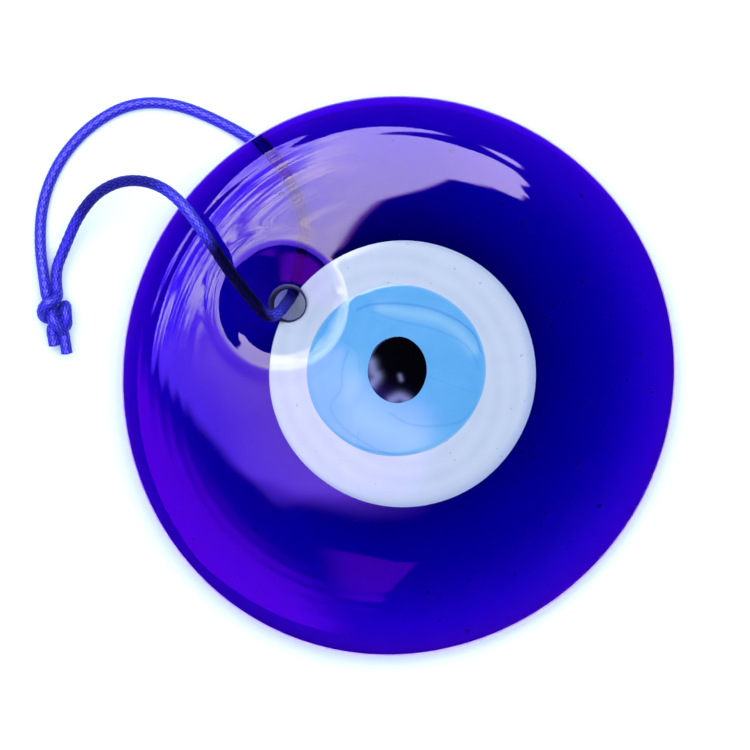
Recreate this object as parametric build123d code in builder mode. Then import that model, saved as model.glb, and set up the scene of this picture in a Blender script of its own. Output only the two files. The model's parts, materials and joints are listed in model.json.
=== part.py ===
"""Glass evil eye ornament (nazar) with its satin hanging cord, lying on its back.

Units are millimetres. The origin is under the middle of the glass disc, on the surface the
ornament lies on. +X is the right and +Y the top of the eye's face, and +Z points up, out of
that face. The cord runs under the disc to its hole, so the disc rests on the cord and on
the far part of its own rim, a little tilted.
"""

import os
from math import asin, atan2, cos, degrees, hypot, pi, radians, sin, sqrt, tan

from build123d import *

# Glass disc, in its own plane: its flat back is at height 0 and its front faces +Z
DISC_RADIUS = 47.5
BACK_EDGE_RADIUS = 2.0  # rounding between the flat back and the rim
CROWN_RADIUS = 260.0  # front face, in the middle
CROWN_REACH = 30.0  # distance from the middle where the crown ends
SHOULDER_REACH = 44.0  # and where the shoulder ends and the rim begins
SHOULDER_SLOPE = radians(20)  # slope of the front where the rim begins

# Hole poked through the disc, with the funnel that the rod left round its mouth
HOLE_AT = (-18.7, 12.4)
HOLE_RADIUS = 3.1
HOLE_BACK_EDGE = 0.6  # rounding where the hole leaves the back
FUNNEL_SLOPE = radians(18)
FUNNEL_REACH = 10.6  # radius where the funnel meets the crown
FUNNEL_LIP = 1.2  # rounding between the hole and the funnel

# Glass layers, each poured into the one before: (place, radius, height of floor, rounding)
WHITE = ((0.7, 0.5), 22.6, 7.4, 1.2)
IRIS = ((-0.7, 0.9), 15.2, 9.2, 0.9)
PUPIL = ((-0.1, 1.2), 5.4, 10.2, 0.7)

# How the disc lies
TILT = radians(2)
RAISED_SIDE = radians(135)  # direction of the raised side, from +X

# Cord, and the knot that ties its ends: a barrel along the line from the strands to the tails
CORD_RADIUS = 1.0
KNOT_TOP = Vector(-59.2, 13.9, 2.7)
KNOT_FOOT = Vector(-58.1, 6.9, 2.7)
KNOT_RADIUS = 2.7
KNOT_FACE_RADIUS = 2.15
STRAND_OFFSET = 1.05  # of each strand and tail from the knot's axis
STRAIGHT_AT_KNOT = 3.6  # length of the two parallel strands above the knot
LONG_TAIL = 3.6
SHORT_TAIL = 1.9

# Heights and radii that follow from the driving sizes
crown_slope = asin(CROWN_REACH / CROWN_RADIUS)
shoulder_radius = (SHOULDER_REACH - CROWN_REACH) / (sin(SHOULDER_SLOPE) - sin(crown_slope))
rim_radius = (DISC_RADIUS - SHOULDER_REACH) / (1 - sin(SHOULDER_SLOPE))
rim_height = BACK_EDGE_RADIUS
shoulder_height = rim_height + rim_radius * cos(SHOULDER_SLOPE)
crown_edge_height = shoulder_height + shoulder_radius * (cos(crown_slope) - cos(SHOULDER_SLOPE))
disc_height = crown_edge_height + CROWN_RADIUS * (1 - cos(crown_slope))
height_at_hole = disc_height - CROWN_RADIUS + sqrt(CROWN_RADIUS**2 - hypot(*HOLE_AT) ** 2)

# The disc's plane: its rim's lowest point touches the surface, on the side away from the cord
tilt_axis = (sin(RAISED_SIDE), -cos(RAISED_SIDE), 0)
rim_centre_height = (DISC_RADIUS - BACK_EDGE_RADIUS) * sin(TILT) + BACK_EDGE_RADIUS
glass_plane = Plane(Location((0, 0, rim_centre_height), tilt_axis, degrees(TILT)))
glass_plane = glass_plane.offset(-rim_height)


def on_glass(x, y, z=0.0):
    """The point at (x, y, z) of the disc's own plane."""
    return glass_plane.from_local_coords(Vector(x, y, z))


def section(place):
    """The upright plane through a place on the disc: X runs outwards and Y up."""
    return Plane(origin=on_glass(*place), x_dir=glass_plane.x_dir, z_dir=-glass_plane.y_dir)


def upright_axis(place):
    """The axis through a place on the disc, square to its back."""
    return Axis(on_glass(*place), glass_plane.z_dir)


def glass_blank():
    """The disc without its hole and layers."""
    with BuildPart() as blank:
        with BuildSketch(section((0, 0))):
            with BuildLine():
                crown = JernArc((0, disc_height), (1, 0), CROWN_RADIUS, -degrees(crown_slope))
                shoulder = JernArc(
                    crown @ 1, crown % 1, shoulder_radius, -degrees(SHOULDER_SLOPE - crown_slope)
                )
                rim = JernArc(
                    shoulder @ 1, shoulder % 1, rim_radius, -degrees(pi / 2 - SHOULDER_SLOPE)
                )
                back_edge = JernArc(rim @ 1, rim % 1, BACK_EDGE_RADIUS, -90)
                Polyline(back_edge @ 1, (0, 0), crown @ 0)
            make_face()
        revolve(axis=upright_axis((0, 0)))
    return blank.part


def layer_bowl(layer):
    """The bowl that a poured layer fills, reaching up through the disc's front."""
    place, radius, floor, rounding = layer
    top = disc_height + 1
    with BuildPart() as bowl:
        with BuildSketch(section(place)):
            with BuildLine():
                Line((0, floor), (radius - rounding, floor))
                JernArc((radius - rounding, floor), (1, 0), rounding, 90)
                Polyline((radius, floor + rounding), (radius, top), (0, top), (0, floor))
            make_face()
        revolve(axis=upright_axis(place))
    return bowl.part


def hole_and_funnel():
    """The space of the hole, its funnel and its rounded back edge."""
    lip_turn = pi / 2 - FUNNEL_SLOPE
    lip_end = HOLE_RADIUS + FUNNEL_LIP * (1 - cos(lip_turn))
    lip_end_height = height_at_hole - (FUNNEL_REACH - lip_end) * tan(FUNNEL_SLOPE)
    lip_height = lip_end_height - FUNNEL_LIP * sin(lip_turn)
    reach = FUNNEL_REACH + 6
    reach_height = height_at_hole + (reach - FUNNEL_REACH) * tan(FUNNEL_SLOPE)
    mouth = HOLE_RADIUS + HOLE_BACK_EDGE
    with BuildPart() as space:
        with BuildSketch(section(HOLE_AT)):
            with BuildLine():
                Polyline((0, reach_height), (0, -1), (mouth, -1), (mouth, 0))
                JernArc((mouth, 0), (-1, 0), HOLE_BACK_EDGE, -90)
                Line((HOLE_RADIUS, HOLE_BACK_EDGE), (HOLE_RADIUS, lip_height))
                lip = JernArc((HOLE_RADIUS, lip_height), (0, 1), FUNNEL_LIP, -degrees(lip_turn))
                Polyline(lip @ 1, (reach, reach_height), (0, reach_height))
            make_face()
        revolve(axis=upright_axis(HOLE_AT))
    return space.part


with BuildPart() as glass_body:
    add(glass_blank())
    add(layer_bowl(WHITE), mode=Mode.SUBTRACT)
    add(hole_and_funnel(), mode=Mode.SUBTRACT)

with BuildPart() as white_layer:
    add(glass_blank())
    add(layer_bowl(WHITE), mode=Mode.INTERSECT)
    add(layer_bowl(IRIS), mode=Mode.SUBTRACT)
    add(hole_and_funnel(), mode=Mode.SUBTRACT)

with BuildPart() as iris_layer:
    add(glass_blank())
    add(layer_bowl(IRIS), mode=Mode.INTERSECT)
    add(layer_bowl(PUPIL), mode=Mode.SUBTRACT)
    add(hole_and_funnel(), mode=Mode.SUBTRACT)

with BuildPart() as pupil_drop:
    add(glass_blank())
    add(layer_bowl(PUPIL), mode=Mode.INTERSECT)


# Knot: the strands come in side by side at its top and leave as tails at its foot
knot_along = (KNOT_FOOT - KNOT_TOP).normalized()
knot_across = Vector(-knot_along.Y, knot_along.X, 0)
knot_length = (KNOT_FOOT - KNOT_TOP).length

with BuildPart() as cord_knot:
    with BuildSketch(Plane(KNOT_TOP, x_dir=knot_across, z_dir=-Vector(0, 0, 1))):
        with BuildLine():
            Polyline((KNOT_FACE_RADIUS, knot_length), (0, knot_length), (0, 0), (KNOT_FACE_RADIUS, 0))
            ThreePointArc(
                (KNOT_FACE_RADIUS, 0), (KNOT_RADIUS, knot_length / 2), (KNOT_FACE_RADIUS, knot_length)
            )
        make_face()
    revolve(axis=Axis(KNOT_TOP, knot_along))


def cord_cut(start, direction):
    """The plane of a cut end of the cord."""
    return Plane(start, z_dir=direction)


with BuildPart() as long_tail:
    with BuildSketch(cord_cut(KNOT_FOOT + knot_across * STRAND_OFFSET, knot_along)):
        Circle(CORD_RADIUS)
    extrude(amount=LONG_TAIL)

with BuildPart() as short_tail:
    with BuildSketch(cord_cut(KNOT_FOOT - knot_across * STRAND_OFFSET, knot_along)):
        Circle(CORD_RADIUS)
    extrude(amount=SHORT_TAIL)


def corner_radii(points):
    """The arc's radius at each corner of a cord's route: as large as its two runs allow."""
    radii = []
    for before, corner, after in zip(points, points[1:], points[2:]):
        run_in, run_out = corner - before, after - corner
        half_turn = radians(run_in.get_angle(run_out)) / 2
        radii.append(0.45 * min(run_in.length, run_out.length) / tan(half_turn))
    return radii


# Route of the cord's middle line, from the knot round the back strand and home by the front
back_end = KNOT_TOP - knot_across * STRAND_OFFSET
front_end = KNOT_TOP + knot_across * STRAND_OFFSET
route_points = [
    back_end,
    back_end - knot_along * STRAIGHT_AT_KNOT,
    Vector(-61.5, 23.4, 1.2),  # down on the surface
    Vector(-60.9, 30.4, 1.02),
    Vector(-58.0, 37.2, 1.02),
    Vector(-52.9, 43.0, 1.02),
    Vector(-46.0, 46.9, 1.02),
    Vector(-38.2, 46.9, 1.02),
    Vector(-30.4, 43.7, 1.02),
    Vector(-22.8, 39.6, 1.02),  # in under the disc
    Vector(-17.4, 33.4, 1.02),
    Vector(-15.0, 26.2, 1.02),
    Vector(-15.3, 19.6, 1.02),
    Vector(-18.1, 13.5, 1.05),  # up into the hole
    Vector(-18.9, 12.4, 6.3),
    Vector(-19.7, 10.9, 11.5),
    Vector(-21.8, 9.6, 13.5),  # out over the hole's lip
    Vector(-24.9, 13.1, 14.4),
    Vector(-28.7, 18.0, 15.8),
    Vector(-31.9, 23.7, 17.2),  # arching over the rim
    Vector(-36.2, 30.2, 16.8),
    Vector(-40.6, 33.4, 14.8),
    Vector(-45.9, 34.0, 11.8),
    Vector(-50.6, 31.9, 8.6),
    Vector(-54.0, 27.8, 5.8),
    Vector(-56.6, 22.4, 3.7),  # down beside the other strand
    front_end - knot_along * STRAIGHT_AT_KNOT,
    front_end,
]
route_radii = corner_radii(route_points)

with BuildPart() as hanging_cord:
    with BuildLine():
        middle_line = FilletPolyline(*route_points, radius=route_radii)
    with BuildSketch(cord_cut(back_end, -knot_along)):
        Circle(CORD_RADIUS)
    sweep()

volume_by_length = pi * CORD_RADIUS**2 * middle_line.length
print(f"cord: {middle_line.length:.1f} mm, {hanging_cord.part.volume / volume_by_length:.4f} of")
print("its section times its length; corner radii:", [round(radius, 1) for radius in route_radii])

os.makedirs("parts", exist_ok=True)
pieces = {
    "glass_body": glass_body,
    "white_layer": white_layer,
    "iris_layer": iris_layer,
    "pupil_drop": pupil_drop,
    "hanging_cord": hanging_cord,
    "cord_knot": cord_knot,
    "long_tail": long_tail,
    "short_tail": short_tail,
}
for name, piece in pieces.items():
    piece.part.label = name
    export_step(piece.part, f"parts/{name}.step")
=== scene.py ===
"""Looks of the glass evil eye ornament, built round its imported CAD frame.

Everything is in metres in the frame's own axes; MM turns the sizes, which are given in
millimetres, into metres. The disc's own plane is tilted: "glass frame" below means that plane.
"""

import json
import math

import bpy
import numpy as np
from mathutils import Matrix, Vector

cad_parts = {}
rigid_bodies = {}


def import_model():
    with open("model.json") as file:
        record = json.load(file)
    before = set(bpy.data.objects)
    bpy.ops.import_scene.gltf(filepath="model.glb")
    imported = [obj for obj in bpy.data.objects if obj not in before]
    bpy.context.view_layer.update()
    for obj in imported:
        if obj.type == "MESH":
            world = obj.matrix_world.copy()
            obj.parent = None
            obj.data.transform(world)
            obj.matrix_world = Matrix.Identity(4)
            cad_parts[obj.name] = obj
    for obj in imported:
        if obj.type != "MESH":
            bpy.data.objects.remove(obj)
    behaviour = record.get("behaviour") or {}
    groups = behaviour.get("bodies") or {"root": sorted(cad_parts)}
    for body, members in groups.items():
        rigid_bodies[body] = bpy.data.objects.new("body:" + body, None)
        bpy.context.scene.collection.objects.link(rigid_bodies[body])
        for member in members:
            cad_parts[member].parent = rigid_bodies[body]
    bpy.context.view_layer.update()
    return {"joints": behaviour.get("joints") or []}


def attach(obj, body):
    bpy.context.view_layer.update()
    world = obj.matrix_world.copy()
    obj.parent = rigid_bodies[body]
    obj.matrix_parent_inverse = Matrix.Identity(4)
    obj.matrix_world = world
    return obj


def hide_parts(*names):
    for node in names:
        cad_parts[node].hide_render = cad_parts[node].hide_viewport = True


for leftover in list(bpy.data.objects):
    bpy.data.objects.remove(leftover, do_unlink=True)

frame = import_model()

MM = 0.001
rng = np.random.default_rng(7)

# ---------------------------------------------------------------- camera
CAMERA_OVER = (-3.77, 0.09)
CAMERA_HEIGHT = 0.8
camera_data = bpy.data.cameras.new("camera")
camera_data.sensor_width = 36.0
camera_data.lens = 223.0
camera = bpy.data.objects.new("camera", camera_data)
camera.location = (CAMERA_OVER[0] * MM, CAMERA_OVER[1] * MM, CAMERA_HEIGHT)
bpy.context.scene.collection.objects.link(camera)
bpy.context.scene.camera = camera


# ---------------------------------------------------------------- mesh helpers
def make_object(name, vertices, faces, uvs=None, colours=None):
    """A smooth mesh object from arrays in metres. uvs and colours are per vertex corner or None."""
    mesh = bpy.data.meshes.new(name)
    mesh.from_pydata([tuple(v) for v in vertices], [], faces)
    mesh.polygons.foreach_set("use_smooth", [True] * len(mesh.polygons))
    if uvs is not None:
        layer = mesh.uv_layers.new(name="UVMap")
        layer.data.foreach_set("uv", np.asarray(uvs, dtype=float).ravel())
    for label, values in (colours or {}).items():
        layer = mesh.color_attributes.new(name=label, type="FLOAT_COLOR", domain="POINT")
        data = np.ones((len(vertices), 4))
        data[:, : values.shape[1]] = values
        layer.data.foreach_set("color", data.ravel())
    mesh.update()
    obj = bpy.data.objects.new(name, mesh)
    bpy.context.scene.collection.objects.link(obj)
    return obj


def smoothstep(low, high, x):
    t = np.clip((x - low) / (high - low), 0.0, 1.0)
    return t * t * (3 - 2 * t)


def ring_faces(rings, around, closed_lengthways=False):
    """Quads between consecutive rings of a grid of rings x around vertices."""
    faces = []
    last = rings if closed_lengthways else rings - 1
    for i in range(last):
        a, b = i * around, ((i + 1) % rings) * around
        for j in range(around):
            k = (j + 1) % around
            faces.append((a + j, a + k, b + k, b + j))
    return faces


# ---------------------------------------------------------------- cord geometry
CORD_RADIUS = 1.0
THREADS = 10  # cells of the braid round the cord
BRAID_PITCH = 1.3  # length of one cell along it
BRAID_RELIEF = 0.11


def braid(s, phi):
    """Height of the braid's threads, 0 to 1, at length s (mm) and angle phi."""
    u, v = s / BRAID_PITCH, phi * THREADS / (2 * math.pi)
    a, b = u + v, u - v
    over = (np.floor(a) + np.floor(b)) % 2
    fa, fb = a - np.floor(a) - 0.5, b - np.floor(b) - 0.5
    cross, along = np.where(over > 0, fa, fb), np.where(over > 0, fb, fa)
    return np.cos(np.pi * cross) ** 0.7 * (0.55 + 0.45 * np.cos(np.pi * along)), over


def along_curve(points, step):
    """Points every step (mm) along a polyline, its length included."""
    points = np.asarray(points, dtype=float)
    gaps = np.linalg.norm(np.diff(points, axis=0), axis=1)
    s = np.concatenate([[0], np.cumsum(gaps)])
    count = max(2, int(round(s[-1] / step)) + 1)
    at = np.linspace(0, s[-1], count)
    return np.stack([np.interp(at, s, points[:, i]) for i in range(3)], axis=1), at


def nurbs_line(name, route):
    """Points of the smooth spline that has the route (mm) as its control points."""
    curve = bpy.data.curves.new(name, "CURVE")
    curve.dimensions = "3D"
    spline = curve.splines.new("NURBS")
    spline.points.add(len(route) - 1)
    for point, place in zip(spline.points, route):
        point.co = (*(c * MM for c in place), 1.0)
    spline.order_u = 3
    spline.use_endpoint_u = True
    spline.resolution_u = 24
    holder = bpy.data.objects.new(name, curve)
    bpy.context.scene.collection.objects.link(holder)
    bpy.context.view_layer.update()
    mesh = bpy.data.meshes.new_from_object(holder)
    line = np.array([v.co[:] for v in mesh.vertices]) / MM
    bpy.data.objects.remove(holder, do_unlink=True)
    return line


def frames_along(centres):
    """Tangents and two turned-along normals at each centre."""
    tangents = np.gradient(centres, axis=0)
    tangents /= np.linalg.norm(tangents, axis=1)[:, None]
    side = np.cross(tangents[0], (0.0, 0.0, 1.0))
    if np.linalg.norm(side) < 0.1:
        side = np.cross(tangents[0], (1.0, 0.0, 0.0))
    sides = []
    for tangent in tangents:
        side = side - tangent * side.dot(tangent)
        side /= np.linalg.norm(side)
        sides.append(side)
    sides = np.array(sides)
    return tangents, sides, np.cross(tangents, sides)


def braided_tube(name, line, step=0.1, sides=40, shade=None, start=0.0):
    """A braided cord along a line (mm), closed at both ends. shade(points) gives its painted shade.
    """
    centres, s = along_curve(line, step)
    s = s + start
    for _ in range(3):
        centres[1:-1] = (centres[:-2] + 2 * centres[1:-1] + centres[2:]) / 4
    tangents, across, up = frames_along(centres)
    phi = np.arange(sides) * 2 * math.pi / sides
    height, over = braid(s[:, None], phi[None, :])
    radius = CORD_RADIUS - BRAID_RELIEF * (1 - height)
    ring = (
        across[:, None, :] * np.cos(phi)[None, :, None]
        + up[:, None, :] * np.sin(phi)[None, :, None]
    )
    vertices = (centres[:, None, :] + ring * radius[:, :, None]).reshape(-1, 3)
    faces = ring_faces(len(s), sides)
    around = np.tile(phi, len(s)) / (2 * math.pi)
    length = np.repeat(s, sides)
    ends = []
    for end, sign in ((0, -1), (len(s) - 1, 1)):
        ends.append(len(vertices))
        tip = centres[end] + tangents[end] * sign * 0.18
        vertices = np.vstack([vertices, tip])
        around, length = np.append(around, 0.5), np.append(length, s[end])
        rim = [end * sides + j for j in range(sides)]
        for j in range(sides):
            pair = (rim[j], rim[(j + 1) % sides])
            faces.append((*pair, ends[-1]) if sign > 0 else (pair[1], pair[0], ends[-1]))
    # the painted shade along the cord, kept in the braid colours' third channel
    dark = np.zeros(len(vertices)) if shade is None else shade(vertices)
    # thread height, which the cord's material also turns into painted shade in the grooves
    relief = np.append(height.ravel(), [0.3, 0.3])
    way = np.append(over.ravel(), [0, 0])
    colours = {"braid": np.stack([relief, way, dark], axis=1)}
    uvs = []
    for face in faces:
        wrap = max(around[v] for v in face) > 0.8
        for v in face:
            turn = around[v] + (1.0 if wrap and around[v] < 0.2 else 0.0)
            uvs.append((length[v], turn))
    obj = make_object(name, vertices * MM, faces, uvs, colours)
    return obj, centres * MM


# Knot: where it is and which way it runs, as in the CAD
KNOT_TOP = np.array([-59.2, 13.9, 2.7])
KNOT_FOOT = np.array([-58.1, 6.9, 2.7])
STRAND_OFFSET = 0.97
STRAIGHT_AT_KNOT = 3.6
LONG_TAIL = 3.6
SHORT_TAIL = 1.9
knot_along = (KNOT_FOOT - KNOT_TOP) / np.linalg.norm(KNOT_FOOT - KNOT_TOP)
knot_across = np.array([-knot_along[1], knot_along[0], 0.0])
back_end = KNOT_TOP - knot_across * STRAND_OFFSET
front_end = KNOT_TOP + knot_across * STRAND_OFFSET

# Route of the cord's middle line (mm), from the knot round the back strand and home by the front
ROUTE = [
    back_end,
    back_end - knot_along * STRAIGHT_AT_KNOT,
    (-61.5, 23.4, 1.2),
    (-60.9, 30.4, 1.02),
    (-58.0, 37.2, 1.02),
    (-52.9, 43.0, 1.02),
    (-46.0, 46.9, 1.02),
    (-38.2, 46.9, 1.02),
    (-30.4, 43.7, 1.02),
    (-23.3, 39.6, 1.02),
    (-18.0, 33.4, 1.02),
    (-15.6, 26.2, 1.02),
    (-15.8, 19.6, 1.02),
    (-18.1, 13.5, 1.05),
    (-18.9, 12.4, 6.3),
    (-19.7, 10.9, 11.5),
    (-21.8, 9.6, 13.5),
    (-24.9, 13.1, 14.4),
    (-28.7, 18.0, 15.8),
    (-32.1, 23.4, 17.2),
    (-36.5, 29.5, 16.8),
    (-40.9, 32.6, 14.8),
    (-46.2, 33.3, 11.8),
    (-51.1, 31.3, 8.6),
    (-54.6, 27.2, 5.8),
    (-57.0, 21.8, 3.7),
    front_end - knot_along * STRAIGHT_AT_KNOT,
    front_end,
]


def painted_cord_shade(points):
    """Painted shade on the cord: over the funnel and face, under the disc and atop the arch."""
    reach = np.hypot(points[:, 0] + 18.7, points[:, 1] - 12.4)
    high = smoothstep(7.5, 10.5, points[:, 2])
    # painted shade on the front strand over the funnel and the disc's face
    shade_over_funnel = high * smoothstep(2.6, 4.5, reach) * (1 - smoothstep(14.0, 19.5, reach))
    from_middle = np.hypot(points[:, 0], points[:, 1])
    # painted shade where the cord lies under the disc
    shade_under_disc = 0.7 * smoothstep(3.4, 2.4, points[:, 2]) * smoothstep(47.5, 45.5, from_middle)
    to_arch = np.hypot(points[:, 0] + 48.5, points[:, 1] - 32.5)
    # painted shade at the top of the front strand's arch
    shade_at_arch = 0.62 * smoothstep(10.5, 6.0, to_arch) * smoothstep(4.0, 7.0, points[:, 2])
    return np.maximum(np.maximum(shade_over_funnel, shade_under_disc), shade_at_arch)


cord_line = nurbs_line("route", ROUTE)
hanging_cord, cord_path = braided_tube("satin_cord_loop", cord_line, shade=painted_cord_shade)


def in_knot(u, v, w):
    """The place u across, v along and w above the knot's top (mm)."""
    return KNOT_TOP + knot_across * u + knot_along * v + np.array([0, 0, w])


KNOT_LOOP = [
    (-0.97, -0.3, 0.0),
    (-0.95, 0.6, -0.3),
    (-0.3, 1.6, -0.5),
    (-0.5, 2.8, 0.3),
    (-0.6, 3.9, 1.1),
    (0.0, 5.2, 1.2),
    (0.8, 6.3, 0.5),
    (0.97, 7.1, 0.0),
]
KNOT_WRAP = [
    (0.97, -0.3, 0.0),
    (1.1, 0.5, 0.9),
    (0.2, 1.2, 1.7),
    (-1.4, 1.6, 1.7),
    (-2.2, 2.7, 0.7),
    (-1.9, 3.9, -0.7),
    (-0.3, 4.0, -1.6),
    (1.2, 2.9, -1.5),
    (2.0, 2.0, -0.5),
    (2.05, 2.9, 0.8),
    (1.9, 4.4, 1.0),
    (1.8, 5.6, 0.4),
    (0.7, 6.1, -0.7),
    (-0.7, 5.3, -0.7),
    (-1.1, 6.2, -0.3),
    (-0.97, 7.1, 0.0),
]
knot_a_line = nurbs_line("knot_a", [in_knot(*p) for p in KNOT_LOOP])
knot_a, _ = braided_tube("knot_strand_a", knot_a_line, start=3.1)
knot_b_line = nurbs_line("knot_b", [in_knot(*p) for p in KNOT_WRAP])
knot_b, _ = braided_tube("knot_strand_b", knot_b_line, start=7.7)

tail_long_line = [in_knot(STRAND_OFFSET, 7.0 + t * LONG_TAIL, 0) for t in (0, 0.3, 0.6, 0.95)]
tail_short_line = [in_knot(-STRAND_OFFSET, 7.0 + t * SHORT_TAIL, 0) for t in (0, 0.3, 0.6, 0.92)]
tail_long, _ = braided_tube("tail_long", nurbs_line("tail_long", tail_long_line), start=1.3)
tail_short, _ = braided_tube("tail_short", nurbs_line("tail_short", tail_short_line), start=5.9)

knot = knot_a
bpy.ops.object.select_all(action="DESELECT")
for part in (knot_a, knot_b):
    part.select_set(True)
bpy.context.view_layer.objects.active = knot_a
bpy.ops.object.join()
knot.name = "tied_knot"

for piece, nodes in (
    (hanging_cord, ["hanging_cord"]),
    (knot, ["cord_knot"]),
    (tail_long, ["long_tail"]),
    (tail_short, ["short_tail"]),
):
    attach(piece, "cord")
    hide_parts(*nodes)

# ---------------------------------------------------------------- glass frame and front surface
DISC_RADIUS = 47.5
BACK_EDGE_RADIUS = 2.0
CROWN_RADIUS = 260.0
CROWN_REACH = 30.0
SHOULDER_REACH = 44.0
SHOULDER_SLOPE = math.radians(20)
HOLE_AT = np.array([-18.7, 12.4])
HOLE_RADIUS = 3.1
HOLE_BACK_EDGE = 0.6
HOLE_TAPER = 0.42  # how much narrower it is at the bottom
HOLE_DRIFT = np.array([0.34, -0.24])  # how far its bottom is off its top
JOINT_HEIGHT = 4.0  # of the joint's point over the disc's back

hinge = frame["joints"][0]
axis = Vector(hinge["axis"]).normalized()
to_world = np.array(Vector((0, 0, 1)).rotation_difference(axis).to_matrix())
glass_origin = np.array(hinge["pos_m"]) / MM - to_world @ np.array([*HOLE_AT, JOINT_HEIGHT])

crown_slope = math.asin(CROWN_REACH / CROWN_RADIUS)
shoulder_radius = (SHOULDER_REACH - CROWN_REACH) / (
    math.sin(SHOULDER_SLOPE) - math.sin(crown_slope)
)
rim_radius = (DISC_RADIUS - SHOULDER_REACH) / (1 - math.sin(SHOULDER_SLOPE))
shoulder_height = BACK_EDGE_RADIUS + rim_radius * math.cos(SHOULDER_SLOPE)
crown_edge_height = shoulder_height + shoulder_radius * (
    math.cos(crown_slope) - math.cos(SHOULDER_SLOPE)
)
disc_height = crown_edge_height + CROWN_RADIUS * (1 - math.cos(crown_slope))

# The rim, which turns slowly to TURN_SLOPE and then quickly round a fine edge
TURN_REACH = 47.38
TURN_SLOPE = math.radians(38)
turn_radius = (TURN_REACH - SHOULDER_REACH) / (math.sin(TURN_SLOPE) - math.sin(SHOULDER_SLOPE))
turn_height = shoulder_height - turn_radius * (math.cos(SHOULDER_SLOPE) - math.cos(TURN_SLOPE))
edge_radius = (DISC_RADIUS - TURN_REACH) / (1 - math.sin(TURN_SLOPE))
widest_height = turn_height - edge_radius * math.cos(TURN_SLOPE)
UNDERSIDE_TURN = 1.5  # how far in from the rim the underside starts to curve up

# Funnel round the hole: a soft raised ring, then a cone down to the lip
FUNNEL_CENTRE = HOLE_AT + np.array([-1.2, -0.1])
FUNNEL_SLOPE = math.radians(24)
FUNNEL_REACH = 9.5
FUNNEL_ROUNDING = 0.75
RING_REACH, RING_WIDTH, RING_HEIGHT = 11.2, 1.5, 0.13
SECOND_RING_REACH, SECOND_RING_WIDTH, SECOND_RING_HEIGHT = 12.6, 0.55, 0.018
BLOB_AT, BLOB_RADIUS, BLOB_HEIGHT = (-10.4, 14.1), 0.75, 0.16  # a drip on the white
LIP_RADIUS = 1.2
lip_turn = math.pi / 2 - FUNNEL_SLOPE
lip_end = HOLE_RADIUS + LIP_RADIUS * (1 - math.cos(lip_turn))


def to_metres(points):
    """Glass frame millimetres to metres in the frame's axes."""
    return (points @ to_world.T + glass_origin) * MM


# Long low waves that make reflections wander, as on poured glass: (wavelength, height, heading)
WAVES = [
    (9.0 + 3.1 * i, 0.004 + 0.0016 * i, rng.uniform(0, math.pi), rng.uniform(0, 6.28))
    for i in range(8)
]


def waves(x, y):
    total = np.zeros_like(x)
    for wavelength, height, heading, phase in WAVES:
        total += height * np.sin(
            (x * math.cos(heading) + y * math.sin(heading)) * 2 * math.pi / wavelength + phase
        )
    return total


def crown_height(r):
    """Height of the plain front at radius r."""
    r = np.minimum(r, DISC_RADIUS)
    crown = disc_height - CROWN_RADIUS + np.sqrt(CROWN_RADIUS**2 - r**2)
    shoulder_sine = math.sin(crown_slope) + (r - CROWN_REACH) / shoulder_radius
    shoulder = crown_edge_height - shoulder_radius * (
        math.cos(crown_slope) - np.sqrt(np.clip(1 - shoulder_sine**2, 0, 1))
    )
    rim_sine = math.sin(SHOULDER_SLOPE) + (r - SHOULDER_REACH) / turn_radius
    rim = shoulder_height - turn_radius * (
        math.cos(SHOULDER_SLOPE) - np.sqrt(np.clip(1 - rim_sine**2, 0, 1))
    )
    return np.where(r < CROWN_REACH, crown, np.where(r < SHOULDER_REACH, shoulder, rim))


def open_height(x, y):
    """Height of the front with its funnel, outside the hole's lip."""
    r = np.hypot(x, y)
    d = np.hypot(x - FUNNEL_CENTRE[0], y - FUNNEL_CENTRE[1])
    depth = (
        math.tan(FUNNEL_SLOPE)
        * FUNNEL_ROUNDING
        * np.logaddexp(0, (FUNNEL_REACH - d) / FUNNEL_ROUNDING)
    )
    ring = RING_HEIGHT * np.exp(-(((d - RING_REACH) / RING_WIDTH) ** 2))
    ring += SECOND_RING_HEIGHT * np.exp(-(((d - SECOND_RING_REACH) / SECOND_RING_WIDTH) ** 2))
    to_blob = np.hypot(x - BLOB_AT[0], y - BLOB_AT[1])
    ring += BLOB_HEIGHT * np.exp(-((to_blob / BLOB_RADIUS) ** 2))
    theta = np.arctan2(y, x)
    flow = (0.006 + 0.016 * np.clip(np.cos(theta + 0.7), 0, 1)) * np.sin(
        2 * math.pi * r / 1.9 + 1.7 * np.sin(3 * theta) + 2.2 * np.sin(theta + 1)
    )
    ring += flow * smoothstep(34.0, 40.0, r) * smoothstep(46.6, 44.5, r)
    tool_marks = (
        0.014 * np.sin(2 * math.pi * (d - 3.6) / 1.15) * np.exp(-np.maximum(d - 4.0, 0) / 1.8)
    )
    calm = smoothstep(46.5, 42.0, r) * smoothstep(6.0, 12.0, d)
    return crown_height(r) - depth + ring + tool_marks + waves(x, y) * calm


def front_height(x, y):
    """Height of the front anywhere outside the hole, its lip included."""
    dx, dy = x - HOLE_AT[0], y - HOLE_AT[1]
    reach = np.hypot(dx, dy)
    safe = np.maximum(reach, 1e-6)
    edge_x = HOLE_AT[0] + dx / safe * np.maximum(reach, lip_end)
    edge_y = HOLE_AT[1] + dy / safe * np.maximum(reach, lip_end)
    height = open_height(edge_x, edge_y)
    inside = np.clip(HOLE_RADIUS + LIP_RADIUS - reach, 0, LIP_RADIUS)
    lip = height - LIP_RADIUS * math.sin(lip_turn) + np.sqrt(LIP_RADIUS**2 - inside**2)
    return np.where(reach < lip_end, lip, height)


def out_of_round(points):
    """Gives the disc its hand-made outline."""
    x, y = points[:, 0], points[:, 1]
    r, theta = np.hypot(x, y), np.arctan2(y, x)
    grow = 0.0112 * np.cos(2 * (theta - math.radians(61.5))) + 0.0053 * np.cos(
        3 * theta - math.radians(6)
    )
    scale = 1 + grow * smoothstep(28.0, 46.0, r)
    return np.stack([x * scale, y * scale, points[:, 2]], axis=1)


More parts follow.
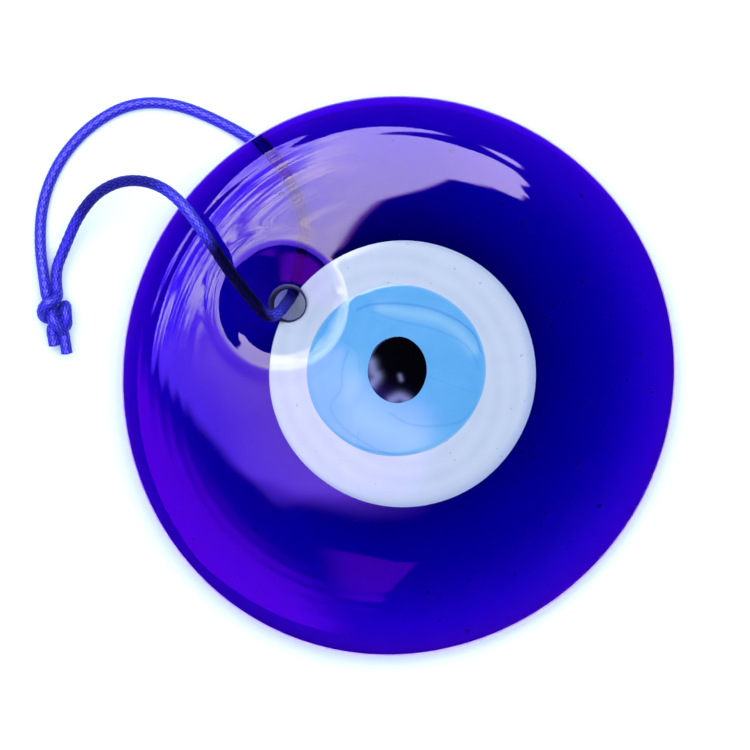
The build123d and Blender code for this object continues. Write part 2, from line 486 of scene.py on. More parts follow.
# ---------------------------------------------------------------- glass body
AROUND = 512
phi = np.arange(AROUND) * 2 * math.pi / AROUND
circle = np.stack([np.cos(phi), np.sin(phi)], axis=1)
RINGS_MEET = TURN_REACH  # from here out the rings are centred on the disc
FINE_EDGE_RINGS = 14  # round the fine edge, which is rough and carries a painted light outline
WALL_RINGS = 7  # down the wall of the hole
SHADED_LIP_RINGS = 4  # of the lip that the painted shade reaches, which also covers the wall


def ring_centre(reach):
    """Rings leave the hole centred on it and end centred on the disc."""
    return HOLE_AT * (1 - smoothstep(4.6, RINGS_MEET, reach))


def front_ring(reach):
    xy = ring_centre(reach) + circle * reach
    return np.column_stack([xy, front_height(xy[:, 0], xy[:, 1])])


rings = []
for turn in np.linspace(0, lip_turn, 9):
    rings.append(front_ring(HOLE_RADIUS + LIP_RADIUS * (1 - math.cos(turn))))
front_reaches = [np.arange(lip_end + 0.2, 14.0, 0.2), np.arange(14.0, RINGS_MEET, 0.28)]
for reach in np.concatenate(front_reaches):
    rings.append(front_ring(reach))
for turn in np.linspace(TURN_SLOPE, math.pi / 2, FINE_EDGE_RINGS):
    reach = DISC_RADIUS - edge_radius * (1 - math.sin(turn))
    height = widest_height + edge_radius * math.cos(turn)
    rings.append(np.column_stack([circle * reach, np.full(AROUND, height)]))
widest_ring = len(rings) - 1
for turn in np.linspace(0, math.pi / 2, 16)[1:]:
    reach = DISC_RADIUS - UNDERSIDE_TURN * (1 - math.cos(turn))
    height = widest_height * (1 - math.sin(turn))
    rings.append(np.column_stack([circle * reach, np.full(AROUND, height)]))
mouth = HOLE_RADIUS + HOLE_BACK_EDGE
back_reach = DISC_RADIUS - UNDERSIDE_TURN
for reach in np.linspace(back_reach, mouth, 70)[1:]:
    back_centre = HOLE_AT * (1 - smoothstep(mouth, back_reach, reach))
    xy = back_centre + circle * reach
    fade = smoothstep(back_reach, 41.0, np.hypot(xy[:, 0], xy[:, 1]))
    fade = fade * smoothstep(mouth, mouth + 4, reach)
    dimple = 0.5 * np.abs(waves(xy[:, 1] * 1.3, xy[:, 0] * 1.3)) * fade
    rings.append(np.column_stack([xy, dimple]))
for turn in np.linspace(0, math.pi / 2, 6)[1:]:
    reach = mouth - (HOLE_BACK_EDGE + HOLE_TAPER) * math.sin(turn)
    height = HOLE_BACK_EDGE * (1 - math.cos(turn))
    drift = HOLE_DRIFT * math.sin(turn)
    rings.append(np.column_stack([HOLE_AT + drift + circle * reach, np.full(AROUND, height)]))
wall_top = rings[0][:, 2]
for share in np.linspace(0, 1, WALL_RINGS + 2)[1:-1]:
    height = HOLE_BACK_EDGE + (wall_top - HOLE_BACK_EDGE) * share
    reach = HOLE_RADIUS - HOLE_TAPER * (1 - share)
    rings.append(np.column_stack([HOLE_AT + HOLE_DRIFT * (1 - share) + circle * reach, height]))
body_points = out_of_round(np.vstack(rings))
body_faces = ring_faces(len(rings), AROUND, closed_lengthways=True)
body_faces = [tuple(reversed(face)) for face in body_faces]

# Layers: (centre, radius, floor height)
WHITE = (np.array([0.7, 0.5]), 22.6, 7.4)
IRIS = (np.array([-0.4, 1.1]), 14.85, 9.2)
PUPIL = (np.array([-0.25, 1.2]), 5.4, 10.2)


def seeds():
    """Small bubbles in the clear part of the glass: hollow, so their faces look inwards."""
    vertices, faces = [], []
    made = 0
    while made < 90:
        r, theta = 46.0 * math.sqrt(rng.uniform(0.2, 0.95)), rng.uniform(0, 2 * math.pi)
        if rng.uniform() > 0.35 + 0.65 * max(0.0, math.cos(theta + math.radians(35))):
            continue
        x, y = r * math.cos(theta), r * math.sin(theta)
        size = 0.09 + 0.27 * rng.uniform() ** 2.5
        top = float(crown_height(np.array([r]))[0])
        z = rng.uniform(1.2, top - 1.0)
        if math.hypot(x - WHITE[0][0], y - WHITE[0][1]) < WHITE[1] + 0.8:
            continue
        if math.hypot(x - HOLE_AT[0], y - HOLE_AT[1]) < 12:
            continue
        made += 1
        base = len(vertices)
        rows, cols = 6, 10
        stretch = rng.uniform(0.8, 1.5)
        vertices.append((x, y, z + size))
        for i in range(1, rows):
            a = math.pi * i / rows
            for j in range(cols):
                b = 2 * math.pi * j / cols
                vertices.append(
                    (
                        x + size * stretch * math.sin(a) * math.cos(b),
                        y + size * math.sin(a) * math.sin(b),
                        z + size * math.cos(a),
                    )
                )
        vertices.append((x, y, z - size))
        last = base + 1 + (rows - 1) * cols
        for j in range(cols):
            k = (j + 1) % cols
            faces.append((base, base + 1 + k, base + 1 + j))
            for i in range(rows - 2):
                a = base + 1 + i * cols
                faces.append((a + j, a + k, a + cols + k, a + cols + j))
            a = last - cols
            faces.append((last, a + j, a + k))
    return np.array(vertices), faces


seed_points, seed_faces = seeds()
offset = len(body_points)
body_points = np.vstack([body_points, seed_points])
body_faces += [tuple(v + offset for v in face) for face in seed_faces]
glass = make_object("cobalt_glass_body", to_metres(body_points), body_faces)
to_white = math.atan2(0.5 - HOLE_AT[1], 0.7 - HOLE_AT[0])
bare = np.cos(phi + math.pi / AROUND - to_white) > 0.35  # next to the white the lip gets no painted shade
last_ring = len(rings) - 1
for index, face in enumerate(glass.data.polygons[: len(rings) * AROUND]):
    ring, step = divmod(index, AROUND)
    # the hole's wall and the lip away from the white get painted shade; the fine edge a painted
    # highlight
    if ring >= last_ring - WALL_RINGS or (ring < SHADED_LIP_RINGS and not bare[step]):
        face.material_index = 1
    elif widest_ring - FINE_EDGE_RINGS <= ring < widest_ring:
        face.material_index = 2
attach(glass, "glass")
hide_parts("glass_body")


# ---------------------------------------------------------------- poured layers
def wobble(theta, seed, size):
    """A smooth uneven outline."""
    source = np.random.default_rng(seed)
    total = np.zeros_like(theta)
    for n in range(2, 9):
        total += size / n * np.sin(n * theta + source.uniform(0, 6.28)) * source.uniform(0.4, 1)
    return total


def layer_object(name, layer, edge, proud, dip, dip_width, rows, around, rounding, paint):
    """A poured layer: its top follows the front, its walls and floor are inside the glass.

    Nothing is hollowed out for it: it overlaps the piece under it, unlike the CAD solids.
    edge(theta) is its outline. It stands proud of the glass but dips under it by dip(theta)
    over dip_width at its edge. paint(x, y, inset) gives its vertex colours.
    """
    centre, _, floor = layer
    theta = np.arange(around) * 2 * math.pi / around
    outline = edge(theta)
    direction = np.stack([np.cos(theta), np.sin(theta)], axis=1)
    shares = 1 - (1 - np.linspace(0, 1, rows + 1)[1:]) ** 1.25
    points, insets = [], []
    for share in shares:
        xy = centre + direction * (outline * share)[:, None]
        inset = outline * (1 - share)
        sink = dip(theta) * np.clip(1 - inset / dip_width, 0, 1) ** 2
        z = front_height(xy[:, 0], xy[:, 1]) + proud - sink
        points.append(np.column_stack([xy, z]))
        insets.append(inset)
    top_edge = points[-1]
    for share in np.linspace(0, 1, 8)[1:]:
        z = top_edge[:, 2] * (1 - share) + (floor + rounding) * share
        points.append(np.column_stack([top_edge[:, :2], z]))
        insets.append(np.zeros(around))
    for turn in np.linspace(0, math.pi / 2, 6)[1:]:
        inset = rounding * (1 - math.cos(turn))
        xy = centre + direction * (outline - inset)[:, None]
        z = np.full(around, floor + rounding * (1 - math.sin(turn)))
        points.append(np.column_stack([xy, z]))
        insets.append(np.zeros(around))
    for share in np.linspace(1, 0, 14)[1:-1]:
        xy = centre + direction * ((outline - rounding) * share)[:, None]
        points.append(np.column_stack([xy, np.full(around, floor)]))
        insets.append(np.zeros(around))
    count = len(points)
    grid = np.vstack(points)
    middle = float(front_height(np.array([centre[0]]), np.array([centre[1]]))[0]) + proud
    grid = np.vstack([grid, (centre[0], centre[1], middle), (centre[0], centre[1], floor)])
    faces = [tuple(reversed(f)) for f in ring_faces(count, around)]
    top, bottom = len(grid) - 2, len(grid) - 1
    for j in range(around):
        k = (j + 1) % around
        faces.append((top, j, k))
        faces.append((bottom, (count - 1) * around + k, (count - 1) * around + j))
    inset = np.concatenate([np.concatenate(insets), [outline.min(), 0.0]])
    colours = {"paint": paint(grid[:, 0], grid[:, 1], inset)}
    obj = make_object(name, to_metres(grid), faces, None, colours)
    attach(obj, "glass")
    return obj


def stroke(x, y, line, width):
    """1 on a drawn smooth line (mm), fading to 0 at width."""
    line, _ = along_curve([(*p, 0.0) for p in smooth_stroke(line)], 0.25)
    best = np.full_like(x, 1e9)
    for i in range(0, len(line)):
        best = np.minimum(best, (x - line[i, 0]) ** 2 + (y - line[i, 1]) ** 2)
    return np.exp(-best / width**2)


def smooth_stroke(points):
    """Catmull-Rom curve through given points."""
    p = [np.array(q, dtype=float) for q in points]
    p = [2 * p[0] - p[1], *p, 2 * p[-1] - p[-2]]
    out = []
    for a, b, c, d in zip(p, p[1:], p[2:], p[3:]):
        for t in np.linspace(0, 1, 8, endpoint=False):
            out.append(
                0.5
                * (
                    2 * b
                    + (c - a) * t
                    + (2 * a - 5 * b + 4 * c - d) * t**2
                    + (3 * b - 3 * c + d - a) * t**3
                )
            )
    out.append(p[-2])
    return [tuple(q) for q in out]


def white_edge(theta):
    """The white's outline: a circle that gives way to the hole."""
    centre, radius, _ = WHITE
    plain = radius + wobble(theta, 3, 0.1)
    to_hole = HOLE_AT - centre
    far, heading = np.hypot(*to_hole), math.atan2(to_hole[1], to_hole[0])
    off = np.arctan2(np.sin(theta - heading), np.cos(theta - heading))
    gap = HOLE_RADIUS + 0.12
    inside = np.clip(gap**2 - (far * np.sin(off)) ** 2, 0, None)
    cut = far * np.cos(off) - np.sqrt(inside)
    blocked = (np.abs(far * np.sin(off)) < gap) & (np.cos(off) > 0)
    return np.where(blocked, np.minimum(plain, cut), plain)


def white_dip(theta):
    to_hole = np.cos(theta - math.radians(148.5))
    return 0.03 - 0.03 * smoothstep(0.93, 0.99, to_hole)


def paint_white(x, y, inset):
    theta = np.arctan2(y - WHITE[0][1], x - WHITE[0][0])
    # painted shade along the white's edge, wider and deeper towards the lower right
    wide = 1.1 + 0.9 * np.cos(theta + math.radians(30))
    depth = 0.75 + 0.25 * np.cos(theta + math.radians(30))
    edge = (1 - smoothstep(0.0, 1.0, inset / wide)) * depth
    flow = 0.5 + 0.5 * np.sin(np.hypot(x, y) * 2.1 + 2.0 * np.sin(np.arctan2(y, x) * 2 + 0.4))
    return np.stack([edge, flow, np.zeros_like(x)], axis=1)


SWIRLS = [
    (
        [
            (-7.0, 11.4), (-4.5, 12.3), (0.3, 12.4), (5.0, 11.7), (8.2, 10.5), (10.7, 9.1),
            (13.0, 6.9), (13.9, 4.3),
        ],
        0.2,
        0.9,
    ),
    ([(-4.5, 11.0), (0.3, 9.4), (5.0, 8.4), (9.8, 6.5), (12.3, 4.3), (13.6, 1.2)], 0.17, 0.45),
    (
        [
            (-8.6, 4.3), (-9.5, 1.8), (-9.8, -2.0), (-11.4, -4.5), (-11.1, -6.4), (-9.2, -8.7),
            (-5.7, -11.2), (-1.3, -13.1), (3.5, -12.8),
        ],
        0.17,
        0.6,
    ),
    ([(-1.6, -6.1), (1.9, -8.0), (6.6, -8.3), (10.7, -7.4), (13.3, -4.5)], 0.18, 0.5),
    ([(5.2, 0.0), (9.0, -1.4), (12.4, -2.6)], 0.15, 0.3),
    ([(-6.8, -9.3), (-6.9, -11.3), (-5.2, -12.6)], 0.15, 0.4),
    ([(-9.2, 6.0), (-7.0, 4.2), (-6.6, 1.0)], 0.15, 0.3),
]
MILKS = [
    ([(-3.0, 11.6), (1.0, 10.9), (6.0, 10.0), (10.2, 7.6), (12.6, 4.6)], 1.1, 0.75),
    ([(-8.2, 2.6), (-7.6, 0.2), (-8.4, -3.6)], 1.9, 0.5),
    ([(-6.0, -7.0), (-1.0, -9.6), (4.0, -10.6)], 3.4, 0.65),
]


# Painted reflections on the pupil: soft greyish-violet patches
PUPIL_PAINTED_REFLECTIONS = [
    ([(-4.6, 2.4), (-4.3, 0.9), (-3.7, 0.1), (-4.5, -1.2)], 0.85, 1.0),
    ([(-1.2, -3.9), (0.2, -3.3), (1.4, -3.9)], 0.8, 0.95),
    ([(0.2, 0.2), (0.4, -0.4)], 0.38, 0.7),
]


def paint_iris(x, y, inset):
    line = np.zeros_like(x)
    for points, width, strength in SWIRLS:
        line = np.maximum(line, strength * stroke(x, y, points, width))
    milk = np.zeros_like(x)
    for points, width, strength in MILKS:
        milk = np.maximum(milk, strength * stroke(x, y, points, width))
    edge = 1 - smoothstep(0.0, 0.5, inset)
    return np.stack([line, milk, edge], axis=1)


def paint_pupil(x, y, inset):
    # painted reflections on the pupil
    milk = np.zeros_like(x)
    for points, width, strength in PUPIL_PAINTED_REFLECTIONS:
        milk = np.maximum(milk, strength * stroke(x, y, points, width))
    return np.stack([milk, milk * 0, milk * 0], axis=1)


white = layer_object(
    "white_layer_glass", WHITE, white_edge, 0.035, white_dip, 1.9, 90, 512, 1.2, paint_white
)
iris = layer_object(
    "iris_layer_glass",
    IRIS,
    lambda t: IRIS[1] - 0.3 * np.cos(2 * (t - math.radians(100))) + wobble(t, 11, 0.12),
    0.09,
    lambda t: 0.055 + 0 * t,
    0.9,
    96,
    512,
    0.9,
    paint_iris,
)
pupil = layer_object(
    "pupil_drop_glass",
    PUPIL,
    lambda t: 5.42 - 0.28 * np.cos(2 * t) + wobble(t, 5, 0.1),
    0.12,
    lambda t: 0.045 + 0 * t,
    0.6,
    36,
    256,
    0.7,
    paint_pupil,
)
for piece, node, slot in (
    (white, "white_layer", "white_glass"),
    (iris, "iris_layer", "light_blue_glass"),
    (pupil, "pupil_drop", "black_glass"),
):
    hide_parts(node)


# ---------------------------------------------------------------- materials
def new_material(name):
    material = bpy.data.materials.new(name)
    material.use_nodes = True
    tree = material.node_tree
    shader = next(n for n in tree.nodes if n.type == "BSDF_PRINCIPLED")
    return material, tree, shader


def set_plain(shader, **values):
    for key, value in values.items():
        shader.inputs[key.replace("_", " ")].default_value = value


def math_node(tree, operation, a, b=None, clamp=False):
    node = tree.nodes.new("ShaderNodeMath")
    node.operation, node.use_clamp = operation, clamp
    for i, value in enumerate((a, b)):
        if value is None:
            continue
        if isinstance(value, (int, float)):
            node.inputs[i].default_value = value
        else:
            tree.links.new(value, node.inputs[i])
    return node.outputs[0]


def mix_colour(tree, factor, a, b):
    node = tree.nodes.new("ShaderNodeMix")
    node.data_type = "RGBA"
    for socket, value in ((node.inputs[0], factor), (node.inputs[6], a), (node.inputs[7], b)):
        if isinstance(value, (int, float)):
            socket.default_value = value
        elif isinstance(value, tuple):
            socket.default_value = (*value, 1.0)
        else:
            tree.links.new(value, socket)
    return node.outputs[2]


def noise(tree, scale, detail=3.0, roughness=0.5, distortion=0.0, stretch=None):
    """Noise over the object's own coordinates, scale per metre."""
    coords = tree.nodes.new("ShaderNodeTexCoord")
    source = coords.outputs["Object"]
    if stretch is not None:
        mapping = tree.nodes.new("ShaderNodeMapping")
        mapping.inputs["Scale"].default_value = stretch
        tree.links.new(source, mapping.inputs[0])
        source = mapping.outputs[0]
    node = tree.nodes.new("ShaderNodeTexNoise")
    node.inputs["Scale"].default_value = scale
    node.inputs["Detail"].default_value = detail
    node.inputs["Roughness"].default_value = roughness
    node.inputs["Distortion"].default_value = distortion
    tree.links.new(source, node.inputs["Vector"])
    return node.outputs["Fac"]


def add_bump(tree, shader, height, strength, distance):
    bump = tree.nodes.new("ShaderNodeBump")
    bump.inputs["Strength"].default_value = strength
    bump.inputs["Distance"].default_value = distance
    tree.links.new(height, bump.inputs["Height"])
    tree.links.new(bump.outputs[0], shader.inputs["Normal"])


def attribute(tree, name):
    node = tree.nodes.new("ShaderNodeAttribute")
    node.attribute_name = name
    split = tree.nodes.new("ShaderNodeSeparateColor")
    tree.links.new(node.outputs["Color"], split.inputs[0])
    return split.outputs


def glass_material():
    material, tree, shader = new_material("cobalt_glass")
    set_plain(
        shader,
        Base_Color=(1.0, 1.0, 1.0, 1.0),
        Roughness=0.012,
        IOR=1.5,
        Transmission_Weight=1.0,
        Specular_Tint=(0.78, 0.62, 0.92, 1.0),
    )
    volume = tree.nodes.new("ShaderNodeVolumeAbsorption")
    volume.inputs["Color"].default_value = (0.57, 0.0, 0.853, 1.0)
    volume.inputs["Density"].default_value = 800.0
    output = next(n for n in tree.nodes if n.type == "OUTPUT_MATERIAL")
    tree.links.new(volume.outputs[0], output.inputs["Volume"])
    return material


def white_material():
    material, tree, shader = new_material("white_glass")
    paint = attribute(tree, "paint")
    clouds = noise(tree, 160.0, 4.0, 0.55, 0.8)
    base = mix_colour(tree, clouds, (0.39, 0.40, 0.42), (0.475, 0.47, 0.47))
    flow = math_node(tree, "MULTIPLY", paint[1], 0.25)
    base = mix_colour(tree, flow, base, (0.53, 0.52, 0.50))
    # painted shade: lavender-grey along the white's edge, most at the lower right
    edge = math_node(tree, "MULTIPLY", paint[0], 0.8)
    base = mix_colour(tree, edge, base, (0.27, 0.29, 0.40))
    specks = noise(tree, 1500.0, 0.0)
    speck = math_node(tree, "GREATER_THAN", specks, 0.84)
    speck = math_node(tree, "MULTIPLY", speck, 0.5)
    base = mix_colour(tree, speck, base, (0.12, 0.13, 0.2))
    tree.links.new(base, shader.inputs["Base Color"])
    set_plain(shader, Roughness=0.1, IOR=1.5, Specular_Tint=(0.85, 0.75, 0.6, 1.0))
    return material


def iris_material():
    material, tree, shader = new_material("light_blue_glass")
    paint = attribute(tree, "paint")
    clouds = noise(tree, 130.0, 4.0, 0.5, 1.2)
    base = mix_colour(tree, clouds, (0.070, 0.26, 0.45), (0.125, 0.33, 0.50))
    milk = math_node(tree, "MULTIPLY", paint[1], 0.75)
    base = mix_colour(tree, milk, base, (0.26, 0.43, 0.50))
    line = math_node(tree, "MULTIPLY", paint[0], 0.8)
    base = mix_colour(tree, line, base, (0.04, 0.18, 0.40))
    edge = math_node(tree, "MULTIPLY", paint[2], 0.35)
    base = mix_colour(tree, edge, base, (0.29, 0.42, 0.49))
    tree.links.new(base, shader.inputs["Base Color"])
    set_plain(shader, Roughness=0.09, IOR=1.5, Specular_Tint=(1.0, 0.9, 0.4, 1.0))
    return material


def pupil_material():
    material, tree, shader = new_material("black_glass")
    clouds = noise(tree, 300.0, 3.0)
    base = mix_colour(tree, clouds, (0.0003, 0.0003, 0.0004), (0.0012, 0.0012, 0.002))
    # painted reflections: greyish-violet patches over the black
    milk = attribute(tree, "paint")[0]
    base = mix_colour(tree, milk, base, (0.16, 0.15, 0.24))
    tree.links.new(base, shader.inputs["Base Color"])
    set_plain(shader, Roughness=0.06, IOR=1.5, Specular_Tint=(0.12, 0.10, 0.25, 1.0))
    return material


def hole_shade_material():
    """Painted shade: a dull near-black lining on the hole's wall and part of its lip."""
    material, tree, shader = new_material("hole_painted_shade")
    lining_mottle = noise(tree, 1800.0, 4.0, 0.7)
    base = mix_colour(tree, lining_mottle, (0.004, 0.004, 0.012), (0.05, 0.05, 0.09))
    tree.links.new(base, shader.inputs["Base Color"])
    set_plain(shader, Roughness=0.75, IOR=1.45)
    add_bump(tree, shader, lining_mottle, 0.6, 0.0001)
    return material


def rim_highlight_material():
    """Painted highlight: opaque mottled violet on the rough outer edge, a thin light outline."""
    material, tree, shader = new_material("rim_painted_highlight")
    rim_mottle = noise(tree, 700.0, 4.0, 0.6)
    base = mix_colour(tree, rim_mottle, (0.02, 0.0, 0.30), (0.30, 0.17, 0.78))
    tree.links.new(base, shader.inputs["Base Color"])
    set_plain(shader, Roughness=0.45, IOR=1.5)
    add_bump(tree, shader, rim_mottle, 0.4, 0.0001)
    return material


def cord_material():
    material, tree, shader = new_material("satin_cord")
    braid_paint = attribute(tree, "braid")
    fibres = noise(tree, 2600.0, 2.0, 0.6)
    # fibre tone, plus painted shade in the braid's grooves: the lower the thread, the darker
    fibres_and_groove_shade = math_node(tree, "MULTIPLY", fibres, 0.9)
    fibres_and_groove_shade = math_node(tree, "ADD", fibres_and_groove_shade, braid_paint[0])
    fibres_and_groove_shade = math_node(tree, "SUBTRACT", fibres_and_groove_shade, 0.60)
    fibres_and_groove_shade = math_node(tree, "MULTIPLY", fibres_and_groove_shade, 1.4, clamp=True)
    base = mix_colour(tree, fibres_and_groove_shade, (0.0, 0.0, 0.04), (0.10, 0.09, 0.80))
    way = math_node(tree, "MULTIPLY", braid_paint[1], 0.25)
    base = mix_colour(tree, way, base, (0.004, 0.004, 0.28))
    # painted shade: near black where the shade channel says, over the funnel, under the disc and at
    # the arch
    base = mix_colour(tree, braid_paint[2], base, (0.0, 0.0, 0.012))
    tree.links.new(base, shader.inputs["Base Color"])
    set_plain(
        shader,
        Metallic=0.55,
        Roughness=0.40,
        IOR=1.45,
        Specular_Tint=(0.35, 0.35, 1.0, 1.0),
        Sheen_Weight=0.12,
        Sheen_Roughness=0.35,
        Sheen_Tint=(0.2, 0.2, 1.0, 1.0),
    )
    add_bump(tree, shader, fibres, 0.5, 0.00005)
    return material


glass.data.materials.append(glass_material())
glass.data.materials.append(hole_shade_material())
glass.data.materials.append(rim_highlight_material())
white.data.materials.append(white_material())
iris.data.materials.append(iris_material())
pupil.data.materials.append(pupil_material())
satin = cord_material()
for piece in (hanging_cord, knot, tail_long, tail_short):
    piece.data.materials.clear()
    piece.data.materials.append(satin)

# ---------------------------------------------------------------- stage and light
FLOOR_FLAT, SWEEP, WALL = 1.85, 0.15, 0.35


def build_stage():
    """A pale floor that sweeps up into a wall all round."""
    profile = [(r, 0.0) for r in (0.02, 0.2, 0.6, 1.1, FLOOR_FLAT)]
    for turn in np.linspace(0, math.pi / 2, 13)[1:]:
        profile.append((FLOOR_FLAT + SWEEP * math.sin(turn), SWEEP * (1 - math.cos(turn))))
    profile.append((FLOOR_FLAT + SWEEP, WALL))
    around = 96
    vertices = []
    for r, z in profile:
        for j in range(around):
            a = 2 * math.pi * j / around
            vertices.append((r * math.cos(a), r * math.sin(a), z - 0.00002))
    faces = [tuple(reversed(f)) for f in ring_faces(len(profile), around)]
    vertices.append((0, 0, -0.00002))
    centre = len(vertices) - 1
    faces += [(centre, j, (j + 1) % around) for j in range(around)]
    obj = make_object("studio_floor", vertices, faces)
    material, tree, shader = new_material("floor_paper")
    grain = noise(tree, 90.0, 3.0)
    paper = mix_colour(tree, grain, (0.93, 0.93, 0.93), (0.95, 0.95, 0.95))
    tree.links.new(paper, shader.inputs["Base Color"])
    set_plain(shader, Roughness=0.9, Specular_IOR_Level=0.2)
    obj.data.materials.append(material)


SOFTBOX_HEIGHT = 1.2
SOFTBOX_BLUE = 10.5  # its blue is even; its red and green fall off to the left and below
SOFTBOX_BOX = ((-1.5, -1.5), (0.6, 1.0))
# Edges of the softbox's lit parts (m): a point on the edge, the heading it lets light out on,
# in degrees, and how soft it is. The box is open to its right, where the camera hangs.
OUTER_EDGES = [
    ((0.47, 0.55), 169, 0.012),
    ((0.10, 0.86), 250, 0.012),
    ((-0.30, 0.905), 272, 0.015),
    ((-0.71, 0.65), 319, 0.02),
    ((-0.92, 0.20), 4, 0.03),
    ((-0.50, -0.19), 66, 0.05),
]
ARM = [((0.25, 0.485), 95, 0.012)]
BEND = [((0.011, 0.272), 136, 0.014)]
BODY = [((-0.055, 0.0), 180, 0.02), ((-0.15, -0.305), 90, 0.035)]
CORNER = [
    ((-0.12, -0.10), 0, 0.06),
    ((0.03, -0.07), 245, 0.015),
    ((0.115, -0.20), 172, 0.03),
    ((0.0, -0.31), 90, 0.04),
]
DIM_SIDE = [((-0.58, -0.44), 234, 0.13), ((-0.22, 0), 180, 0.18)]
DIM_PATCH = [
    ((-0.09, 0), 0, 0.07),
    ((0.10, -0.47), 166, 0.012),
    ((0, -0.46), 262, 0.012),
    ((0, -0.80), 92, 0.08),
]


def lit_part(tree, x, y, edges):
    """1 inside all the edges, fading to 0 across each."""
    inside = None
    for (px, py), heading, soft in edges:
        ax, ay = math.cos(math.radians(heading)), math.sin(math.radians(heading))
        along_x, along_y = (math_node(tree, "MULTIPLY", c, k) for c, k in ((x, ax), (y, ay)))
        reach = math_node(tree, "ADD", along_x, along_y)
        step = ramp_node(tree, reach, ax * px + ay * py - soft, ax * px + ay * py + soft, 0.0, 1.0)
        inside = step if inside is None else math_node(tree, "MULTIPLY", inside, step)
    return inside


def ramp_node(tree, value, low, high, start, end):
    node = tree.nodes.new("ShaderNodeMapRange")
    node.interpolation_type = "SMOOTHSTEP"
    for key, number in (("From Min", low), ("From Max", high), ("To Min", start), ("To Max", end)):
        node.inputs[key].default_value = number
    tree.links.new(value, node.inputs["Value"])
    return node.outputs[0]


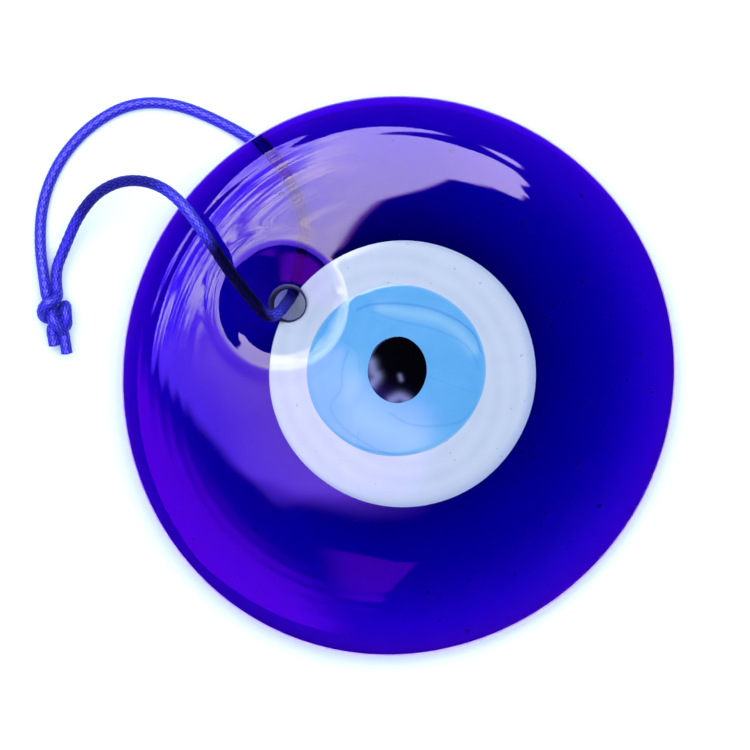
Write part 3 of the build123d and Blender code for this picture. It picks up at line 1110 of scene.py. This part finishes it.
def build_softbox():
    (x0, y0), (x1, y1) = SOFTBOX_BOX
    corners = [(x0, y0), (x0, y1), (x1, y1), (x1, y0)]
    obj = make_object("softbox", [(x, y, SOFTBOX_HEIGHT) for x, y in corners], [(0, 1, 2, 3)])
    material = bpy.data.materials.new("softbox_light")
    material.use_nodes = True
    tree = material.node_tree
    tree.nodes.clear()
    output = tree.nodes.new("ShaderNodeOutputMaterial")
    emission = tree.nodes.new("ShaderNodeEmission")
    coords = tree.nodes.new("ShaderNodeTexCoord")
    split = tree.nodes.new("ShaderNodeSeparateXYZ")
    tree.links.new(coords.outputs["Object"], split.inputs[0])
    x, y = split.outputs["X"], split.outputs["Y"]
    lit = lit_part(tree, x, y, ARM)
    for part in (BEND, BODY):
        lit = math_node(tree, "MAXIMUM", lit, lit_part(tree, x, y, part))
    lit = math_node(tree, "MULTIPLY", lit, lit_part(tree, x, y, OUTER_EDGES))
    lit = math_node(tree, "MAXIMUM", lit, lit_part(tree, x, y, CORNER))
    high = ramp_node(tree, y, -0.15, 0.25, 0.0, 5.6)
    left = ramp_node(tree, x, -0.72, -0.12, 0.0, 1.0)
    plain = math_node(tree, "MULTIPLY", high, left)
    for start, end, gain in ((-0.35, -0.10, 1.1), (0.10, 0.50, 1.6)):
        plain = math_node(tree, "ADD", plain, ramp_node(tree, x, start, end, 0.9, 0.9 + gain))
    swept = tree.nodes.new("ShaderNodeCombineXYZ")
    squares = [math_node(tree, "MULTIPLY", c, c) for c in (x, y)]
    reach = math_node(tree, "SQRT", math_node(tree, "ADD", *squares))
    tree.links.new(math_node(tree, "MULTIPLY", reach, 15.0), swept.inputs["X"])
    turn = math_node(tree, "ARCTAN2", y, x)
    tree.links.new(math_node(tree, "MULTIPLY", turn, 1.9), swept.inputs["Y"])
    cloth = tree.nodes.new("ShaderNodeTexNoise")
    for key, value in (("Scale", 1.0), ("Detail", 5.0), ("Roughness", 0.6), ("Distortion", 0.5)):
        cloth.inputs[key].default_value = value
    tree.links.new(swept.outputs[0], cloth.inputs["Vector"])
    wisps = ramp_node(tree, cloth.outputs["Fac"], 0.40, 0.66, -2.6, 9.5)
    for place, low, full in ((x, 0.02, -0.40), (y, -0.02, 0.24)):
        mask = ramp_node(tree, place, low, full, 0.0, 1.0)
        wisps = math_node(tree, "MULTIPLY", wisps, mask)
    strength = math_node(tree, "MAXIMUM", math_node(tree, "ADD", plain, wisps), 0.8)
    strength = math_node(tree, "MULTIPLY", strength, lit)
    green = math_node(tree, "MULTIPLY", strength, ramp_node(tree, strength, 1.4, 6.0, 0.35, 1.0))
    colour = tree.nodes.new("ShaderNodeCombineColor")
    for i, channel in enumerate((strength, green, math_node(tree, "MULTIPLY", lit, SOFTBOX_BLUE))):
        tree.links.new(channel, colour.inputs[i])
    tree.links.new(colour.outputs[0], emission.inputs["Color"])
    dim = tree.nodes.new("ShaderNodeEmission")
    dim.inputs["Color"].default_value = (1.0, 0.02, 2.8, 1.0)
    faint = math_node(tree, "MULTIPLY", lit_part(tree, x, y, DIM_SIDE), 1.5)
    patch = math_node(tree, "MULTIPLY", lit_part(tree, x, y, DIM_PATCH), 0.9)
    faint = math_node(tree, "ADD", faint, patch)
    tree.links.new(faint, dim.inputs["Strength"])
    both = tree.nodes.new("ShaderNodeAddShader")
    tree.links.new(emission.outputs[0], both.inputs[0])
    tree.links.new(dim.outputs[0], both.inputs[1])
    tree.links.new(both.outputs[0], output.inputs["Surface"])
    obj.data.materials.append(material)
    for ray in ("camera", "diffuse", "transmission", "shadow"):
        setattr(obj, "visible_" + ray, False)


FILL_HEIGHT = 1.25
# Fill panels: name, lowest and highest corner (m), colour, strength from right to left, and
# whether it lights only the glass, which no real lamp here would do
FILLS = [
    ("fill_panel", (-1.0, -0.55), (1.0, 1.2), (0.62, 0.74, 1.0), (3.9, 4.5), False),
    ("glass_panel", (-0.9, -2.2), (1.7, -0.6), (0.72, 0.6, 1.0), (21.0, 21.0), True),
]


def build_fill(name, low, high, colour, strengths, glass_only):
    """A panel whose light falls on everything or on the glass, and that no mirror shows."""
    (x0, y0), (x1, y1) = low, high
    corners = [(x0, y0), (x0, y1), (x1, y1), (x1, y0)]
    obj = make_object(name, [(x, y, FILL_HEIGHT) for x, y in corners], [(0, 1, 2, 3)])
    material = bpy.data.materials.new(name + "_light")
    material.use_nodes = True
    tree = material.node_tree
    tree.nodes.clear()
    output = tree.nodes.new("ShaderNodeOutputMaterial")
    emission = tree.nodes.new("ShaderNodeEmission")
    emission.inputs["Color"].default_value = (*colour, 1.0)
    coords = tree.nodes.new("ShaderNodeTexCoord")
    split = tree.nodes.new("ShaderNodeSeparateXYZ")
    tree.links.new(coords.outputs["Object"], split.inputs[0])
    strength = ramp_node(tree, split.outputs["X"], x1, x0, *strengths)
    tree.links.new(strength, emission.inputs["Strength"])
    tree.links.new(emission.outputs[0], output.inputs["Surface"])
    obj.data.materials.append(material)
    for ray in ("camera", "glossy"):
        setattr(obj, "visible_" + ray, False)
    if glass_only:
        receivers = bpy.data.collections.new(name + "_receivers")
        receivers.objects.link(glass)
        obj.light_linking.receiver_collection = receivers


build_stage()
build_softbox()
for fill in FILLS:
    build_fill(*fill)

world = bpy.data.worlds.new("dim_studio")
world.use_nodes = True
background = next(n for n in world.node_tree.nodes if n.type == "BACKGROUND")
background.inputs["Color"].default_value = (0.8, 0.85, 1.0, 1.0)
background.inputs["Strength"].default_value = 0.02
bpy.context.scene.world = world
bpy.context.scene.view_settings.view_transform = "Standard"
bpy.context.scene.view_settings.exposure = 0.25
